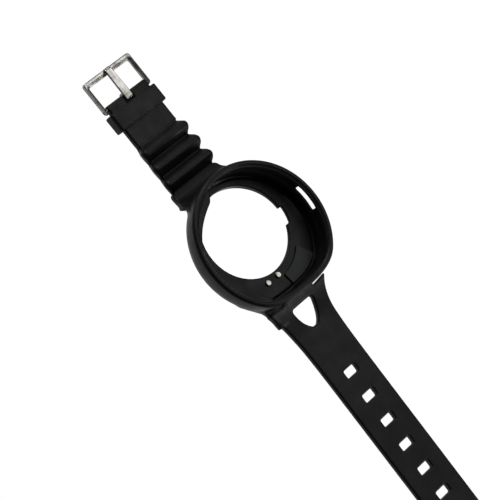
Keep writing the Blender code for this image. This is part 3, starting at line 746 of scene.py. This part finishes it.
def pad_material():
    """A thin dark grey pad, slightly mottled."""
    plain = (0.009, 0.0095, 0.0095)
    made, tree, shader = new_material("grey_pad", plain, roughness=0.5, specular=0.12)
    mottle = object_noise(tree, 300.0, 4.0)
    stops = [(0.35, (0.0065, 0.007, 0.007)), (0.7, (0.012, 0.0127, 0.0127))]
    ramp_colour(tree, mottle.outputs["Fac"], shader.inputs["Base Color"], stops)
    ramp_value(tree, mottle.outputs["Fac"], shader.inputs["Roughness"], 0.42, 0.56)
    add_bump(tree, shader, mottle.outputs["Fac"], 0.2, 0.1)
    return made


# ---------------------------------------------------------------- pieces


def dress(obj, made):
    """Gives the piece its material."""
    obj.data.materials.clear()
    obj.data.materials.append(made)
    return obj


def bend(obj):
    """Bakes the piece's placement into its mesh."""
    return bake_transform(obj)


def build_rubber(black):
    """The ring, then the bellows from the ring to the strap, and the tail from the ring out."""
    boot = strap_piece("boot_skin", *BOOT_CUTS, BOOT_HEIGHT, BOOT_ROOM)
    dress(boot, black)
    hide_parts("boot_body")
    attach(boot, "boot")
    crests = [FIRST_VALLEY_X - (k + 0.5) * RIB_PITCH for k in range(RIB_COUNT)]
    strap_start = FIRST_VALLEY_X - (RIB_COUNT + 0.5) * RIB_PITCH
    ends = [BOOT_CUTS[0]] + crests + [strap_start]
    for k in range(RIB_COUNT + 1):
        piece = strap_piece(f"bellows_skin_{k + 1}", ends[k + 1], ends[k], FOLD_HEIGHT)
        dress(piece, black)
        if k < RIB_COUNT:
            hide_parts(f"bellows_rib_{k + 1}")
        bend(piece)
    strap = strap_piece("strap_skin", None, strap_start, STRAP_HEIGHT)
    dress(strap, black)
    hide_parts("buckle_strap")
    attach(strap, "buckle_strap")
    splits = [TAIL_START_X + (k + 0.5) * JOINT_STEP for k in range(TAIL_COUNT - 1)]
    ends = [BOOT_CUTS[1]] + splits + [None]
    for k in range(TAIL_COUNT):
        piece = strap_piece(f"tail_skin_{k + 1}", ends[k], ends[k + 1], FOLD_HEIGHT)
        dress(piece, black)
        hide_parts(f"tail_{k + 1}")
        bend(piece)


def build_keeper(black):
    low = (KEEPER_X - 5.5, -15.0, -1.0)
    high = (KEEPER_X + 5.5, 15.0, 9.0)
    loop = mesh_piece("keeper_skin", keeper, low, high, RUBBER_STEP)
    dress(loop, black)
    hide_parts("keeper_loop")
    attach(loop, "keeper")


def build_buckle(steel):
    low = (FRAME_END_X - 1.0, -15.5, 1.0)
    high = (BAR_X + 3.0, 15.5, 7.0)
    made = mesh_piece("frame_skin", buckle_frame, low, high, FINE_STEP)
    dress(made, steel)
    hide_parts("buckle_frame")
    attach(made, "buckle_frame")
    low = (PRONG_TIP_X - 1.0, -3.5, 0.0)
    high = (BAR_X + 4.0, 3.5, 8.0)
    prong = mesh_piece("prong_skin", buckle_prong, low, high, FINE_STEP)
    dress(prong, steel)
    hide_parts("buckle_prong")
    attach(prong, "prong")


def half_spring(name, side, middle):
    """The coil from the middle of the spring bar to the pin on one side."""
    bm = bmesh.new()
    steps = int(SPRING_HALF_TURNS * SPRING_POINTS)
    round_wire = [math.tau * k / SPRING_WIRE_SIDES for k in range(SPRING_WIRE_SIDES)]
    rings = []
    for step in range(steps + 1):
        angle = math.tau * step / SPRING_POINTS
        out = Vector((math.cos(angle), 0.0, math.sin(angle)))
        centre = out * SPRING_R + Vector((0.0, side * SPRING_HALF_LENGTH * step / steps, 0.0))
        wire = [out * math.cos(a) + Vector((0.0, math.sin(a), 0.0)) for a in round_wire]
        rings.append([bm.verts.new((centre + w * SPRING_WIRE_R) * MM) for w in wire])
    for near, far in zip(rings, rings[1:]):
        for k in range(SPRING_WIRE_SIDES):
            bm.faces.new((near[k - 1], near[k], far[k], far[k - 1])).smooth = True
    bm.faces.new(rings[0])
    bm.faces.new(rings[-1])
    bmesh.ops.recalc_face_normals(bm, faces=bm.faces[:])
    bmesh.ops.translate(bm, verts=bm.verts[:], vec=middle)
    return object_from(bm, bpy.data.meshes.new(name))


def build_spring(steel):
    """Two half coils, from the middle of the spring bar out to each pin."""
    middle = ((BAR_X + RING_X) * MM, 0.0, BUCKLE_STRAP_MID_Z * MM)
    for name, side in (("left", 1.0), ("right", -1.0)):
        coil = half_spring(f"spring_{name}_coil", side, middle)
        dress(coil, steel)
        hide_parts("spring_bar_spring")
        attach(coil, "buckle_strap")
        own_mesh(coil)


def build_small_pieces(steel, grey):
    """Materials for the pieces that keep their CAD shape."""
    bar = ["spring_bar_tube", "spring_bar_pin_left", "spring_bar_pin_right"]
    studs = ["contact_stud_side", "contact_stud_middle"]
    for name in bar + studs:
        dress(frame["nodes"][name], steel)
    dress(frame["nodes"]["seat_pad"], grey)


# ---------------------------------------------------------------- stage


CAMERA_TILT = 31.05  # degrees from straight down
CAMERA_AZIMUTH = -3.57  # degrees, of the side it leans to, counted from -Y
CAMERA_TURN = 54.29  # degrees, of the strap in the picture, clockwise
CAMERA_DISTANCE = 1000.0
CAMERA_TARGET = (2.07, -4.24, 11.17)
VIEW_WIDTH = 213.2
SENSOR_WIDTH = 36.0
WHITE = (1.0, 1.0, 1.0, 1.0)
WORLD_GLOW = 0.06
FLOOR_GLOW = 0.94
FLOOR_HALF_SIZE = 1.5  # metres
FLOOR_DROP = 130.0  # below the part, so that the curled straps hang clear of the floor


def place_camera():
    """A long lens at the photograph's angle, turned so that the strap runs down to the right."""
    tilt = math.radians(CAMERA_TILT)
    azimuth = math.radians(CAMERA_AZIMUTH)
    across = Vector((math.cos(azimuth), math.sin(azimuth), 0.0))
    level = Vector((math.sin(azimuth), -math.cos(azimuth), 0.0))
    back = level * math.sin(tilt) + Vector((0.0, 0.0, math.cos(tilt)))
    up = back.cross(across)
    turn = math.radians(CAMERA_TURN)
    right = across * math.cos(turn) + up * math.sin(turn)
    top = back.cross(right)
    x, y, z = CAMERA_TARGET
    target = Vector((x + RING_X, y, z)) * MM
    data = bpy.data.cameras.new("camera")
    data.sensor_width = SENSOR_WIDTH
    data.lens = SENSOR_WIDTH * CAMERA_DISTANCE / VIEW_WIDTH
    camera = bpy.data.objects.new("camera", data)
    bpy.context.scene.collection.objects.link(camera)
    place = target + back * CAMERA_DISTANCE * MM
    axes = Matrix((right, top, back)).transposed().to_4x4()
    camera.matrix_world = Matrix.Translation(place) @ axes
    bpy.context.scene.camera = camera


def build_floor():
    """A plain floor that glows, so that it is evenly pale and takes almost no shadow."""
    bm = bmesh.new()
    bmesh.ops.create_grid(bm, x_segments=1, y_segments=1, size=FLOOR_HALF_SIZE)
    floor = object_from(bm, bpy.data.meshes.new("floor"))
    floor.location.z = -FLOOR_DROP * MM
    plain = (0.08, 0.08, 0.08)
    made, _, shader = new_material("floor_white", plain, roughness=1.0, specular=0.0)
    shader.inputs["Emission Color"].default_value = WHITE
    shader.inputs["Emission Strength"].default_value = FLOOR_GLOW
    floor.data.materials.append(made)


def area_light(name, place, target, size, power):
    """A soft rectangular light, with place, target and size in metres and power in watts."""
    data = bpy.data.lights.new(name, "AREA")
    data.shape = "RECTANGLE"
    data.size, data.size_y = size
    data.energy = power
    light = bpy.data.objects.new(name, data)
    bpy.context.scene.collection.objects.link(light)
    light.location = place
    aim = Vector(target) - Vector(place)
    light.rotation_euler = aim.to_track_quat("-Z", "Y").to_euler()


def build_lights():
    world = bpy.data.worlds.new("studio")
    bpy.context.scene.world = world
    world.use_nodes = True
    background = world.node_tree.nodes["Background"]
    background.inputs["Color"].default_value = WHITE
    background.inputs["Strength"].default_value = WORLD_GLOW
    area_light("top_softbox", (-0.05, 0.36, 0.62), (-0.03, 0.0, 0.0), (0.5, 0.4), 2.5)
    area_light("side_strip", (-0.55, 0.1, 0.35), (-0.05, 0.0, 0.0), (0.12, 0.5), 3.5)
    area_light("end_strip", (0.46, 0.32, 0.26), (-0.14, 0.0, 0.0), (0.12, 0.3), 2.2)
    bpy.context.scene.view_settings.view_transform = "Standard"


def main():
    black = rubber_material()
    steel = steel_material()
    build_rubber(black)
    build_keeper(black)
    build_buckle(steel)
    build_spring(steel)
    build_small_pieces(steel, pad_material())
    place_camera()
    build_floor()
    build_lights()


main()
bpy.context.view_layer.update()
